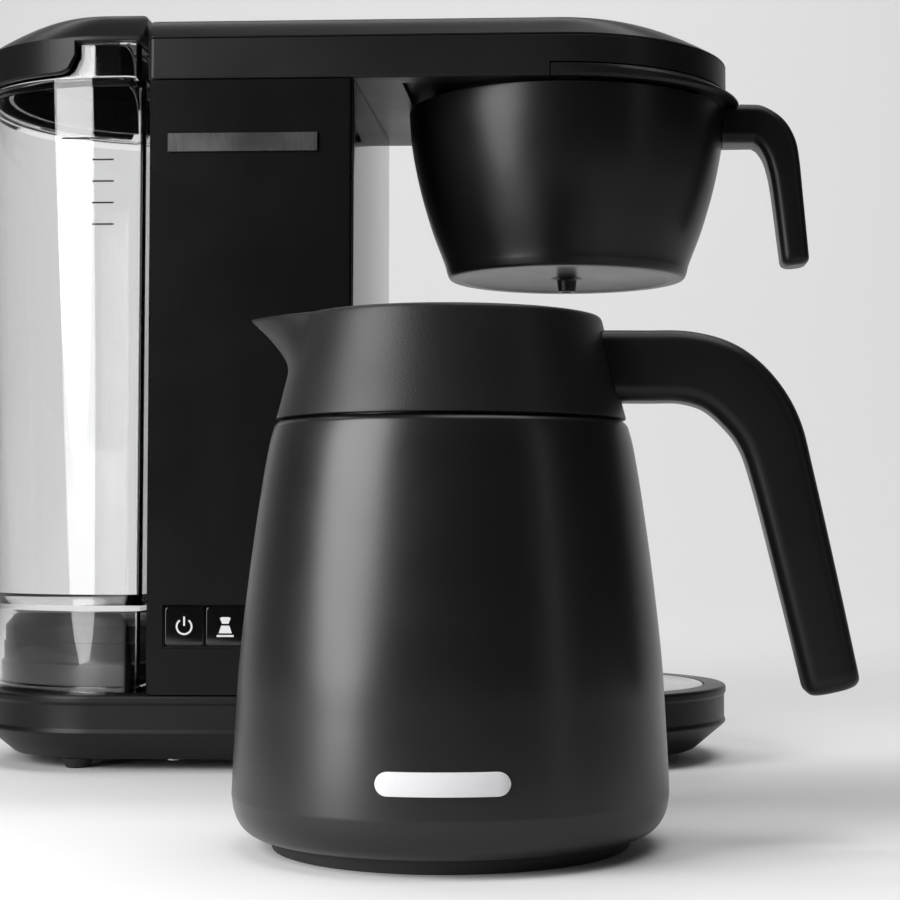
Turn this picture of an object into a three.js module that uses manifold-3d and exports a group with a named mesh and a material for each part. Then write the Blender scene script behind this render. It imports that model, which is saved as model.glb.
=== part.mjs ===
// Counter-top drip coffee brewer with a hanging brew basket, a clear water tank and a vacuum carafe
// that stands on the table in front of it. Millimetres, +Z up, +X along the brewer from the tank to
// the basket, -Y towards the user.
//
// Every part is drawn in the brewer's own frame: X = 0 is near the middle of the base, Y = 0 is its
// mid depth and Z = 0 the table. The exported group is then moved so that the row's origin is the
// middle of the footprint of the brewer and carafe together, on the table.
import * as THREE from "three";
import { mergeVertices } from "three/addons/utils/BufferGeometryUtils.js";
import Module from "manifold-3d";

const wasm = await Module();
wasm.setup();

// ---------------------------------------------------------------- driving dimensions

const GAP = 0.3; // air between pieces that rest on each other
const ARC = 6; // steps in a quarter of a large round outline
const ROUND = 32; // steps round a turned part

const BASE = { left: -160, right: 166, half: 74, bottom: 4.4, band: 15.5, top: 32, taper: 13, wall: 2.5 };
const END_X = 94; // upright axis of the carafe plate and of the head's round end
const TOWER = { left: -75.4, right: 9.3, front: -72.4, back: 62, wall: 2.5, corner: 3 };
const HEAD = { left: -76.6, right: 167, half: 73, bottom: 286.6, seam: 303.8, wall: 2.5 };
const TANK = { left: -165.5, right: -79.2, half: 70, bottom: 32.3, floor: 66, ledge: 289, top: 303.6 };
const TANK_WALL = 2.5;
const DRAFT = { left: 7, right: 1.2, half: 3 }; // how much further in the tank's walls are at its bottom
const LID = { left: -167, right: -77.7, half: 71.5, bottom: 303.7, skirt: 290.4, skirtEnd: -108 };
// The tops rise from a crisp edge within their side along the front and back and their reach at the round end.
const HEAD_DOME = { edge: 304.5, top: 312.6, side: 7, reach: 22, power: 1.4, corner: 2 };
const LID_DOME = { edge: 305.4, top: 315.6, side: 7, reach: 28, power: 1.5, corner: 3 };
const HINGE = { x: LID.right - LID_DOME.corner, z: LID_DOME.top - LID_DOME.corner, y: 42 };
const HINGE_PIN = 1.1;
const HINGE_BORE = 1.35;
const PLATE = { radius: 62, thickness: 1.6, recess: 1.9 };
const BASKET = { x: 96, bottom: 211, top: 285, wall: 2.4, neck: 57.5, flange: 66 };
const FLANGE = { bottom: HEAD.bottom + 3.1, top: HEAD.bottom + 5.6 };
const CARAFE = { x: 63.7, y: -235.8, foot: 4.3, shoulder: 135, rim: 169, wall: 1.2 };
const BUTTON = { left: -67.6, pitch: 17, width: 16.4, height: 16, z: 60.2, count: 4 };
const GLAND = { x: -60, z: 21.8, bore: 3.2, sleeve: 4.7, flange: 6.2 };

const BLACK = { color: 0x151516, roughness: 0.45, metalness: 0 };
const GLOSS = { color: 0x0c0c0d, roughness: 0.15, metalness: 0 };
const COATED = { color: 0x1b1b1c, roughness: 0.42, metalness: 0.6 };
const STEEL = { color: 0xb8babc, roughness: 0.3, metalness: 1 };
const ALUMINIUM = { color: 0xa8aaad, roughness: 0.5, metalness: 1 };
const CLEAR = { color: 0xf2f4f5, roughness: 0.05, metalness: 0, transparent: true, opacity: 0.3 };
const RUBBER = { color: 0x0f0f10, roughness: 0.85, metalness: 0 };
const BOARD = { color: 0x1d5a36, roughness: 0.6, metalness: 0 };
const SILICONE = { color: 0xdcdad2, roughness: 0.6, metalness: 0 };

// ---------------------------------------------------------------- solids

// A closed geometry as a solid, turned outwards if its faces point in.
function solid(geometry) {
  const bare = geometry.index ? geometry.toNonIndexed() : geometry.clone();
  for (const name of Object.keys(bare.attributes)) {
    if (name !== "position") bare.deleteAttribute(name);
  }
  const merged = mergeVertices(bare, 1e-3);
  const kept = [];
  const index = merged.index.array;
  for (let i = 0; i < index.length; i += 3) {
    const [a, b, c] = [index[i], index[i + 1], index[i + 2]];
    if (a !== b && b !== c && a !== c) kept.push(a, b, c);
  }
  const build = (triangles) =>
    new wasm.Manifold(
      new wasm.Mesh({
        numProp: 3,
        vertProperties: merged.attributes.position.array,
        triVerts: new Uint32Array(triangles),
      }),
    );
  const made = build(kept);
  if (made.volume() > 0) return made;
  const turned = [];
  for (let i = 0; i < kept.length; i += 3) turned.push(kept[i], kept[i + 2], kept[i + 1]);
  return build(turned);
}

const cut = (body, ...tools) => tools.reduce((left, tool) => left.subtract(tool), body);
const join = (body, ...others) => others.reduce((sum, other) => sum.add(other), body);

function geometryOf(body) {
  const mesh = body.getMesh();
  const points = new Float32Array(mesh.numVert * 3);
  for (let i = 0; i < mesh.numVert; i++) {
    points.set(mesh.vertProperties.subarray(i * mesh.numProp, i * mesh.numProp + 3), i * 3);
  }
  return new THREE.BufferGeometry()
    .setAttribute("position", new THREE.BufferAttribute(points, 3))
    .setIndex(new THREE.BufferAttribute(mesh.triVerts, 1));
}

// A closed skin over rings of points that all hold the same number of points.
function skin(rings) {
  const count = rings[0].length;
  const points = rings.flat();
  const faces = [];
  for (let ring = 0; ring + 1 < rings.length; ring++) {
    for (let i = 0; i < count; i++) {
      const a = ring * count + i;
      const b = ring * count + ((i + 1) % count);
      faces.push(a, b, b + count, a, b + count, a + count);
    }
  }
  for (const [start, side] of [[0, -1], [(rings.length - 1) * count, 1]]) {
    for (let i = 1; i + 1 < count; i++) {
      if (side > 0) faces.push(start, start + i, start + i + 1);
      else faces.push(start, start + i + 1, start + i);
    }
  }
  const geometry = new THREE.BufferGeometry().setFromPoints(points).setIndex(faces);
  return solid(geometry);
}

// A rectangle with round corners seen from above: the left corners and the right corners each have a
// radius, and a radius of half the depth gives a round end.
function plan(x0, x1, half, leftRadius, rightRadius, steps = ARC) {
  const corners = [
    [x1 - rightRadius, -half + rightRadius, rightRadius, -90],
    [x1 - rightRadius, half - rightRadius, rightRadius, 0],
    [x0 + leftRadius, half - leftRadius, leftRadius, 90],
    [x0 + leftRadius, -half + leftRadius, leftRadius, 180],
  ];
  return corners.flatMap(([cx, cy, radius, start]) =>
    Array.from({ length: steps + 1 }, (_, i) => {
      const angle = THREE.MathUtils.degToRad(start + (90 * i) / steps);
      return new THREE.Vector2(cx + radius * Math.cos(angle), cy + radius * Math.sin(angle));
    }),
  );
}

// A stack of outlines, each at its own height.
const loft = (...levels) =>
  skin(levels.map(([z, outline]) => outline.map((p) => new THREE.Vector3(p.x, p.y, z))));

// The levels of a domed top: the outline steps in while it rises from the edge to the top, steeply at
// first and then ever flatter. It steps in by little along its sides and by more at its round end. The
// flat end keeps its place, apart from a corner rounded with the dome's corner radius.
function domed({ edge, top, side, reach, power, corner }, outline, steps = 8) {
  return Array.from({ length: steps + 1 }, (_, i) => {
    const share = i / steps;
    const z = edge + (top - edge) * (1 - (1 - share) ** power);
    const above = Math.max(0, z - (top - corner));
    const endInset = corner - Math.sqrt(corner ** 2 - above ** 2);
    return [z, outline(side * share, endInset, reach * share)];
  });
}

// Squeezes the part of an outline beyond x towards it, on the right (side 1) or on the left (side -1).
const squeezed = (outline, x, side, factor) =>
  outline.map((p) => new THREE.Vector2((p.x - x) * side > 0 ? x + (p.x - x) * factor : p.x, p.y));

function block(x0, x1, y0, y1, z0, z1) {
  const box = new THREE.BoxGeometry(x1 - x0, y1 - y0, z1 - z0);
  return solid(box.translate((x0 + x1) / 2, (y0 + y1) / 2, (z0 + z1) / 2));
}

// An upright disc or cone.
function disc(x, y, z0, z1, radius, steps = 24, topRadius = radius) {
  const cylinder = new THREE.CylinderGeometry(topRadius, radius, z1 - z0, steps).rotateX(Math.PI / 2);
  return solid(cylinder.translate(x, y, (z0 + z1) / 2));
}

// A round bar along +Y at x, z.
const along = (x, z, y0, y1, radius, steps = 10) =>
  solid(new THREE.CylinderGeometry(radius, radius, y1 - y0, steps).translate(x, (y0 + y1) / 2, z));

// A turned part: the profile is a closed list of [radius, z], and the axis is upright at x, y.
function turned(profile, x, y, steps = ROUND) {
  const points = [...profile, profile[0]].map(([r, z]) => new THREE.Vector2(r, z));
  return solid(new THREE.LatheGeometry(points, steps).rotateX(Math.PI / 2).translate(x, y, 0));
}

// A tube of the given radius along a smooth curve through the points.
function tube(points, radius, steps, sides = 10) {
  const knots = points.map((p) => new THREE.Vector3(...p));
  const path = new THREE.CatmullRomCurve3(knots, false, "centripetal");
  const circle = new THREE.Shape();
  circle.absarc(0, 0, radius, 0, 2 * Math.PI);
  const options = { steps, extrudePath: path, curveSegments: sides / 2, bevelEnabled: false };
  return solid(new THREE.ExtrudeGeometry(circle, options));
}

// A bar of round-cornered oblong section swept through stations [x, z, angle, thickness, width],
// where the angle is that of the bar's run in the XZ plane, in degrees.
function bar(stations, y, corner = 0.35) {
  const side = 4;
  const rings = stations.map(([x, z, angle, thickness, width]) => {
    const turn = THREE.MathUtils.degToRad(angle + 90);
    const radius = corner * Math.min(thickness, width);
    return plan(-thickness / 2, thickness / 2, width / 2, radius, radius, side).map(
      (p) => new THREE.Vector3(x + p.x * Math.cos(turn), y + p.y, z + p.x * Math.sin(turn)),
    );
  });
  return skin(rings);
}

const brewer = new THREE.Group();
const carafe = new THREE.Group();

function add(name, body, look, group = brewer) {
  const mesh = new THREE.Mesh(geometryOf(body), new THREE.MeshStandardMaterial(look));
  mesh.name = name;
  group.add(mesh);
  return mesh;
}

// ---------------------------------------------------------------- base

const BASE_LEFT_RADIUS = 62;

function basePlan(inset) {
  const half = BASE.half - inset;
  return plan(BASE.left + inset, BASE.right - inset, half, BASE_LEFT_RADIUS - inset, half);
}

const FEET = [-109, 106].flatMap((x) => [-52, 52].map((y) => [x, y]));
const RISER = { x: -31, y: 44, radius: 3.5 };
const OUTLET = { x: -112, y: 0, radius: 7 };
const COVER_SCREWS = [-1, 1].flatMap((sx) => [-1, 1].map((sy) => [70 * sx, 42 * sy]));

function buildBase() {
  const outside = loft(
    [BASE.bottom, basePlan(BASE.taper)],
    [BASE.band, basePlan(0)],
    [BASE.top - 1, basePlan(0)],
    [BASE.top, basePlan(1)],
  );
  const ceiling = BASE.top - 4;
  const inside = loft(
    [BASE.bottom - 1, basePlan(BASE.taper + BASE.wall + 1)],
    [BASE.band, basePlan(BASE.wall)],
    [ceiling, basePlan(BASE.wall)],
  );
  const bosses = COVER_SCREWS.map(([x, y]) => disc(x, y, 11, ceiling + 1, 4, 12));
  const shell = join(cut(outside, inside), ...bosses);
  const holes = [
    disc(END_X, 0, BASE.top - PLATE.recess, BASE.top + 1, PLATE.radius + 0.4, 48),
    disc(OUTLET.x, OUTLET.y, 20, BASE.top + 1, OUTLET.radius + 1),
    disc(RISER.x, RISER.y, 20, BASE.top + 1, RISER.radius + 3.5),
    block(-40, -20, -40, -10, 20, BASE.top + 1),
    along(GLAND.x, GLAND.z, 60, 80, GLAND.sleeve + GAP, 16),
  ];
  const screwHoles = COVER_SCREWS.map(([x, y]) => disc(x, y, 0, 24, 2, 10));
  add("base_shell", cut(shell, ...holes, ...screwHoles), BLACK);

  const coverTop = BASE.bottom + 3;
  const cover = loft(
    [BASE.bottom, basePlan(BASE.taper + BASE.wall + 1.9)],
    [coverTop, basePlan(BASE.taper + BASE.wall - 0.4)],
  );
  const clearances = COVER_SCREWS.map(([x, y]) => disc(x, y, 0, 12, 2.4, 10));
  add("base_cover", cut(cover, ...clearances), BLACK);

  FEET.forEach(([x, y], i) => {
    const profile = [[0, 0], [4.6, 0], [5.4, 0.8], [6.6, BASE.bottom - GAP], [0, BASE.bottom - GAP]];
    const foot = turned(profile, x, y, 16);
    add(`foot_${i + 1}`, foot, RUBBER);
  });
  COVER_SCREWS.forEach(([x, y], i) => {
    const head = disc(x, y, BASE.bottom - 2.3, BASE.bottom - GAP, 3.6, 10);
    const shank = disc(x, y, BASE.bottom - 1, 22, 1.6, 10);
    add(`base_screw_${i + 1}`, join(head, shank), STEEL);
  });

  const plateBottom = BASE.top - PLATE.recess + GAP;
  const plate = disc(END_X, 0, plateBottom, plateBottom + PLATE.thickness, PLATE.radius, 48);
  add("carafe_plate", plate, STEEL);

  // The gland that the power cord would leave by: a bush snapped into the back of the base.
  const bush = join(
    along(GLAND.x, GLAND.z, 66, BASE.half + 1, GLAND.sleeve, 16),
    along(GLAND.x, GLAND.z, 66, BASE.half - BASE.wall - GAP, GLAND.sleeve + 1.1, 16),
    along(GLAND.x, GLAND.z, BASE.half + GAP, BASE.half + 2.6, GLAND.flange, 16),
  );
  add("cord_gland", cut(bush, along(GLAND.x, GLAND.z, 60, 90, GLAND.bore, 16)), RUBBER);
}

// ---------------------------------------------------------------- tower and controls

const TOWER_MIDDLE = (TOWER.left + TOWER.right) / 2;
const PANEL_SCREWS = [-1, 1].flatMap((sx) => [58, 262].map((z) => [TOWER_MIDDLE + 34 * sx, z]));
const PANEL = {
  front: -74,
  back: -72.7,
  left: TOWER.left + 0.2,
  right: TOWER.right - 0.2,
  bottom: BASE.top + 0.6,
  top: HEAD.bottom - 0.6,
};
const STRIP = {
  left: BUTTON.left - 0.8,
  right: BUTTON.left + BUTTON.pitch * BUTTON.count + 0.2,
  bottom: BUTTON.z - BUTTON.height / 2 - 0.9,
  top: BUTTON.z + BUTTON.height / 2 + 0.9,
};
const buttonLeft = (i) => BUTTON.left + BUTTON.pitch * i;

// A block centred on the height of the buttons.
const buttonBlock = (x0, x1, y0, y1, halfHeight) =>
  block(x0, x1, y0, y1, BUTTON.z - halfHeight, BUTTON.z + halfHeight);

function buildTower() {
  const bottom = BASE.top + GAP;
  const top = HEAD.bottom - GAP;
  const middle = (TOWER.front + TOWER.back) / 2;
  const half = (TOWER.back - TOWER.front) / 2;
  const column = (inset) =>
    plan(TOWER.left + inset, TOWER.right - inset, half - inset, TOWER.corner, TOWER.corner, 3).map(
      (p) => new THREE.Vector2(p.x, p.y + middle),
    );
  const tubeWall = cut(
    loft([bottom, column(0)], [top, column(0)]),
    loft([bottom - 1, column(TOWER.wall)], [top + 1, column(TOWER.wall)]),
  );
  const window = block(
    STRIP.left - GAP,
    STRIP.right + GAP,
    -78,
    -63,
    STRIP.bottom - GAP,
    STRIP.top + GAP,
  );
  const service = block(TOWER.left + 10, TOWER.right - 10, 50, 70, 60, 260);
  const screwHoles = PANEL_SCREWS.map(([x, z]) => along(x, z, 50, 70, 1.9));
  add("tower_shell", cut(tubeWall, window, service, ...screwHoles), GLOSS);

  const back = block(TOWER.left + 4, TOWER.right - 4, TOWER.back + GAP, TOWER.back + 2.6, 54, 266);
  add("back_panel", cut(back, ...PANEL_SCREWS.map(([x, z]) => along(x, z, 50, 70, 2))), BLACK);
  PANEL_SCREWS.forEach(([x, z], i) => {
    const shank = along(x, z, TOWER.back - 8, TOWER.back + 3, 1.5);
    const head = along(x, z, TOWER.back + 2.6 + GAP, TOWER.back + 4.6, 3.2);
    add(`panel_screw_${i + 1}`, join(shank, head), STEEL);
  });

  const bevel = 1;
  const sheet = skin(
    [[PANEL.back, 0], [PANEL.front + bevel, 0], [PANEL.front, bevel]].map(([y, inset]) => [
      new THREE.Vector3(PANEL.left + inset, y, PANEL.bottom),
      new THREE.Vector3(PANEL.left + inset, y, PANEL.top),
      new THREE.Vector3(PANEL.right - inset, y, PANEL.top),
      new THREE.Vector3(PANEL.right - inset, y, PANEL.bottom),
    ]),
  );
  const slot = block(STRIP.left, STRIP.right, -78, -60, STRIP.bottom, STRIP.top);
  add("front_panel", cut(sheet, slot), COATED);

  const rim = 0.2; // the frame's clearance round each button
  const [low, high] = [STRIP.bottom + GAP, STRIP.top - GAP];
  const frame = block(STRIP.left + GAP, STRIP.right - GAP, -73.6, -70.8, low, high);
  const holes = [];
  for (let i = 0; i < BUTTON.count; i++) {
    const left = buttonLeft(i) - rim;
    holes.push(buttonBlock(left, left + BUTTON.width + 2 * rim, -78, -60, BUTTON.height / 2 + rim));
  }
  add("button_frame", cut(frame, ...holes), GLOSS);

  ["power", "bloom", "timer", "clean"].forEach((use, i) => {
    const left = buttonLeft(i);
    const cap = buttonBlock(left, left + BUTTON.width, -73.8, -69.8, BUTTON.height / 2);
    const stem = buttonBlock(left + 6, left + 10, -70, -67, 2);
    add(`button_${use}`, join(cap, stem), GLOSS);
  });

  const boardFront = -60.4;
  const plate = block(-70, 6, boardFront, boardFront + 1.6, 36, 110);
  const switches = [];
  for (let i = 0; i < BUTTON.count; i++) {
    const left = buttonLeft(i) + 5;
    switches.push(buttonBlock(left, left + 6, -64.9, boardFront + 0.5, 3));
  }
  const relay = block(-50, -30, boardFront + 1, boardFront + 16, 80, 96);
  const transformer = block(-24, -2, boardFront + 1, boardFront + 19, 72, 98);
  add("control_board", join(plate, relay, transformer, ...switches), BOARD);

  const badge = block(-67.2, -5.2, PANEL.front - 1.3, PANEL.front - GAP, 256, 263.6);
  add("badge", badge, STEEL);
}

// ---------------------------------------------------------------- head

function headPlan(inset, endInset = inset, tipInset = inset) {
  const half = HEAD.half - inset;
  const outline = plan(HEAD.left + endInset, HEAD.right - inset, half, 3, half);
  return squeezed(outline, END_X, 1, (HEAD.half - tipInset) / half);
}

// The basket's flange slides in from the right end, between the floor of the head, which is left as two
// rails, and the roof of this channel.
const CHANNEL = { left: BASKET.x - BASKET.flange - 1.5, half: 62, roof: FLANGE.top + 0.9 };
const RAIL_Y = 63.4;
const FASCIA = {
  bottom: HEAD.bottom + 0.2,
  top: HEAD.bottom + 5.4,
  tip: HEAD.half + 6,
  start: END_X - 3,
};

function buildHeadShell() {
  const low = HEAD.bottom;
  const floor = 2.5; // thickness
  const outside = loft([low, headPlan(0)], [HEAD.seam, headPlan(0)]);
  const inside = loft([low + floor, headPlan(HEAD.wall)], [HEAD.seam + 1, headPlan(HEAD.wall)]);
  const channel = block(CHANNEL.left, 175, -CHANNEL.half, CHANNEL.half, low - 1, low + floor + 0.5);
  const notch = block(FASCIA.start - 0.5, 180, -80, 80, low - 1, FASCIA.top + 0.4);
  const rails = [-1, 1].map((side) =>
    block(CHANNEL.left, END_X + 8, side * RAIL_Y - 1.9, side * RAIL_Y + 1.9, low, low + floor),
  );
  const towerHole = block(TOWER.left + 6, TOWER.right - 6, -50, 56, low - 1, low + floor + 0.5);
  const roof = loft(
    [CHANNEL.roof, headPlan(HEAD.wall - 0.2)],
    [CHANNEL.roof + 2, headPlan(HEAD.wall - 0.2)],
  );
  const leftOfChannel = block(-200, CHANNEL.left - 2.2, -80, 80, 280, 310);
  const showerHole = disc(BASKET.x, 0, 280, 310, 34, 32);
  const wallHalf = HEAD.half - 1;
  const wall = block(CHANNEL.left - 2.4, CHANNEL.left, -wallHalf, wallHalf, low + 1, CHANNEL.roof + 1);
  const body = cut(outside, inside, channel, notch, towerHole);
  add("head_shell", join(body, ...rails, cut(roof, leftOfChannel, showerHole), wall), BLACK);
}

function buildHeadCover() {
  const cover = loft([HEAD.seam + GAP, headPlan(0)], ...domed(HEAD_DOME, headPlan));
  const hollow = loft(
    [HEAD.seam - 1, headPlan(HEAD.wall)],
    [HEAD_DOME.edge, headPlan(HEAD.wall)],
    [HEAD_DOME.top - 2.4, headPlan(HEAD_DOME.side + 3, HEAD.wall, HEAD_DOME.reach + 3)],
  );
  add("head_cover", cut(cover, hollow), BLACK);
}

function buildShower() {
  const low = CHANNEL.roof - 0.3;
  const profile = [
    [0, low],
    [30, low],
    [33, low + 1.6],
    [33, low + 6],
    [30.8, low + 6],
    [30.8, low + 2.2],
    [0, low + 1.4],
  ];
  const jets = [];
  for (const [radius, count] of [[9, 4], [22, 8]]) {
    for (let i = 0; i < count; i++) {
      const angle = (2 * Math.PI * i) / count;
      const x = BASKET.x + radius * Math.cos(angle);
      jets.push(disc(x, radius * Math.sin(angle), low - 5, low + 5, 1.3, 6));
    }
  }
  add("shower_head", cut(turned(profile, BASKET.x, 0, 24), ...jets), STEEL);
}

// ---------------------------------------------------------------- water path and heater

function buildWaterPath() {
  const valve = join(
    disc(OUTLET.x, OUTLET.y, 20.5, TANK.floor - 3.3, OUTLET.radius, 20),
    disc(OUTLET.x, OUTLET.y, 12.5, 21, 4.5, 16),
  );
  const port = disc(OUTLET.x, OUTLET.y, 10, 70, 2.5, 12);
  add("tank_outlet_valve", cut(valve, port), SILICONE);

  const pipeZ = 16.5;
  const route = [[-106.4, 0], [-96, 0], [-84, -6], [-74, -14], [-63, -16]];
  const hose = tube(route.map(([x, y]) => [x, y, pipeZ]), 4, 14, 8);
  add("inlet_hose", hose, SILICONE);

  const body = block(-62, 48, -26, 4, 10.5, 26);
  const loop = [[47, -2, 18], [60, 2, 18], [60, 22, 18], [40, 30, 18], [0, 30, 18]];
  add("heater", join(body, tube(loop, 5, 26, 8)), ALUMINIUM);
  const fuse = along(-32, 15, 4.3, 9, 3.2);
  add("thermal_fuse", join(fuse, block(-38, -26, 8.8, 10.6, 12, 18)), SILICONE);
  for (const [side, x] of [["left", -52], ["right", 34]]) {
    const frame = block(x, x + 8, -34, 12, 9, 27.6);
    const strap = cut(frame, block(x - 1, x + 9, -26.3, 4.3, 10.2, 26.3));
    const slot = block(x - 1, x + 9, -40, -25, 13, 30);
    add(`heater_strap_${side}`, cut(strap, slot), STEEL);
  }
  add("thermostat", join(disc(-6, 10.4, 12, 24, 6, 20), block(-13, 1, 4.3, 10, 15, 21)), BLACK);

  const riser = tube(
    [
      [-0.5, 30, 18],
      [-20, 32, 18],
      [RISER.x, 40, 22],
      [RISER.x, RISER.y, 40],
      [RISER.x, RISER.y, 150],
      [RISER.x, RISER.y, 270],
      [RISER.x + 5, 38, 298],
      [RISER.x + 28, 22, 304],
      [40, 8, 304.4],
      [BASKET.x - 16, 0, 304.4],
      [BASKET.x, 0, 303.2],
    ],
    RISER.radius,
    40,
    8,
  );
  add("riser_tube", riser, SILICONE);
}

// ---------------------------------------------------------------- tank

// The tank's outline at a height, drawn in by its draft below the ledge.
function tankPlan(inset, z) {
  const low = THREE.MathUtils.clamp((TANK.ledge - z) / (TANK.ledge - TANK.bottom), 0, 1);
  const half = TANK.half - DRAFT.half * low - inset;
  const left = TANK.left + DRAFT.left * low + inset;
  const right = TANK.right - DRAFT.right * low - inset;
  return plan(left, right, half, half, Math.max(8 - inset, 2));
}

// A stack of the tank's outlines, from [z, inset].
const tankLoft = (...levels) => loft(...levels.map(([z, inset]) => [z, tankPlan(inset, z)]));

const RABBET = 2.2; // the tank's rim steps in so that the lid's skirt lies flush with the wall
const KNUCKLES = [-1, 1].map((side) => side * HINGE.y);

function buildTank() {
  const outside = tankLoft(
    [TANK.bottom, 0],
    [TANK.ledge, 0],
    [TANK.ledge + 0.6, RABBET],
    [TANK.top, RABBET],
  );
  const water = tankLoft(
    [TANK.floor + 2.5, TANK_WALL + 2],
    [TANK.floor + 5, TANK_WALL],
    [TANK.ledge - 4, TANK_WALL],
    [TANK.ledge - 1, TANK_WALL + RABBET],
    [TANK.top + 1, TANK_WALL + RABBET],
  );
  const under = tankLoft([TANK.bottom - 1, TANK_WALL], [TANK.floor, TANK_WALL]);
  const drain = disc(OUTLET.x, OUTLET.y, 50, 80, 4);
  const knuckles = KNUCKLES.map((y) =>
    cut(
      block(HINGE.x - 2.1, HINGE.x + 2, y - 2, y + 2, TANK.top - 6, HINGE.z + 2.4),
      along(HINGE.x, HINGE.z, -80, 80, HINGE_PIN + 0.1),
    ),
  );
  add("tank_body", join(cut(outside, water, under, drain), ...knuckles), CLEAR);

  const seat = TANK_WALL + 0.8;
  const pedestal = tankLoft(
    [TANK.bottom, seat],
    [TANK.bottom + 12, seat],
    [TANK.bottom + 13, seat + 1.5],
    [TANK.floor - 7, seat + 1.5],
    [TANK.floor - GAP, seat + 6],
  );
  const pocket = disc(OUTLET.x, OUTLET.y, 0, 90, OUTLET.radius + 0.5);
  const hollow = tankLoft([TANK.bottom - 1, seat + 3.5], [TANK.floor - 10, seat + 6]);
  const stem = cut(disc(OUTLET.x, OUTLET.y, TANK.bottom, TANK.floor - 8, OUTLET.radius + 3), pocket);
  add("tank_pedestal", join(cut(pedestal, hollow, pocket), stem), BLACK);

  const ringBottom = TANK.floor - 2.9;
  const ringTop = TANK.floor - GAP;
  const ring = [[4.6, ringBottom], [6.6, ringBottom], [6.6, ringTop], [4.6, ringTop]];
  add("tank_seal", turned(ring, OUTLET.x, OUTLET.y, 20), RUBBER);
}

function lidPlan(inset, endInset = inset, tipInset = inset) {
  const half = LID.half - inset;
  const outline = plan(LID.left + inset, LID.right - endInset, half, half, 3);
  return squeezed(outline, LID.left + LID.half, -1, (LID.half - tipInset) / half);
}

function buildLid() {
  const outside = loft([LID.bottom, lidPlan(0)], ...domed(LID_DOME, lidPlan));
  const hollow = loft(
    [LID.bottom - 1, lidPlan(11)],
    [LID_DOME.edge, lidPlan(11)],
    [LID_DOME.top - 3, lidPlan(LID_DOME.side + 6, 11, LID_DOME.reach + 4)],
  );
  const skirt = cut(
    loft([LID.skirt, lidPlan(0)], [LID.bottom + 1, lidPlan(0)]),
    loft([LID.skirt - 1, lidPlan(2.8)], [LID.bottom + 2, lidPlan(2.8)]),
    block(LID.skirtEnd, 0, -100, 100, 200, LID.bottom),
  );
  const collarTop = TANK_WALL + RABBET + 3;
  const collarLow = collarTop + 3;
  const collar = cut(
    tankLoft([TANK.ledge + 2, collarLow], [LID.bottom + 2, collarTop]),
    tankLoft([TANK.ledge + 1, collarLow + 1.8], [LID.bottom + 3, collarTop + 1.8]),
    block(TANK.right - 12, 0, -100, 100, 200, LID.bottom),
  );
  const notches = KNUCKLES.map((y) =>
    block(HINGE.x - 6, 0, y - 2.6, y + 2.6, LID.bottom - 3, LID_DOME.top + 1),
  );
  // The lower edge beside the head is cut off at a slant, so that it clears the tank's rim as it turns.
  const slant = skin(
    [-80, 80].map((y) => [
      new THREE.Vector3(HINGE.x + 0.3, y, LID.bottom - 1),
      new THREE.Vector3(HINGE.x + 0.3, y, LID.bottom),
      new THREE.Vector3(LID.right, y, LID.bottom + 2.4),
      new THREE.Vector3(LID.right + 2, y, LID.bottom + 2.4),
      new THREE.Vector3(LID.right + 2, y, LID.bottom - 1),
    ]),
  );
  const bore = along(HINGE.x, HINGE.z, -HINGE.y - 4, HINGE.y + 4, HINGE_BORE);
  add("tank_lid", cut(join(cut(outside, hollow), skirt, collar), ...notches, slant, bore), BLACK);
  add("lid_hinge_pin", along(HINGE.x, HINGE.z, -HINGE.y - 2.4, HINGE.y + 2.4, HINGE_PIN), STEEL);
}

// ---------------------------------------------------------------- brew basket

const BOWL_SIDE = [
  [47, BASKET.bottom],
  [51.6, 212.4],
  [54.8, 219],
  [60.2, 233],
  [65.8, 252],
  [69.3, 270],
  [70.4, BASKET.top],
];

function buildBasket() {
  const inner = BOWL_SIDE.slice(2).map(([r, z]) => [r - BASKET.wall, z]);
  const profile = [
    [0, BASKET.bottom],
    ...BOWL_SIDE,
    [BASKET.neck + 2.2, BASKET.top],
    [BASKET.neck + 2.2, FLANGE.bottom],
    [BASKET.flange, FLANGE.bottom],
    [BASKET.flange, FLANGE.top],
    [BASKET.neck, FLANGE.top],
    [BASKET.neck, BASKET.top - 2.5],
    [BASKET.flange + 0.4, BASKET.top - 6],
    ...inner.slice(0, -1).reverse(),
    [10, BASKET.bottom + 2.2],
    [0, BASKET.bottom + 2.2],
  ];
  const nozzle = disc(BASKET.x, 0, BASKET.bottom - 5.2, BASKET.bottom + 1, 3.8, 16, 4.4);
  const outlet = disc(BASKET.x, 0, 200, 220, 2.4, 12);
  add("basket_bowl", cut(join(turned(profile, BASKET.x, 0), nozzle), outlet), BLACK);
}

// Half of an upright-sided ring that closes the notch in the head's round end. It is flush with the
// head at its two sides and stands proud of it at the tip.
function halfDisc(radius, tipRadius, z0, z1, steps = 20) {
  const outline = new THREE.Shape();
  for (let i = 0; i <= steps; i++) {
    const angle = Math.PI * (i / steps - 0.5);
    const x = tipRadius * Math.cos(angle);
    const y = radius * Math.sin(angle);
    if (i === 0) outline.moveTo(x, y);
    else outline.lineTo(x, y);
  }
  const options = { depth: z1 - z0, bevelEnabled: false };
  return solid(new THREE.ExtrudeGeometry(outline, options).translate(END_X, 0, z0));
}

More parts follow.
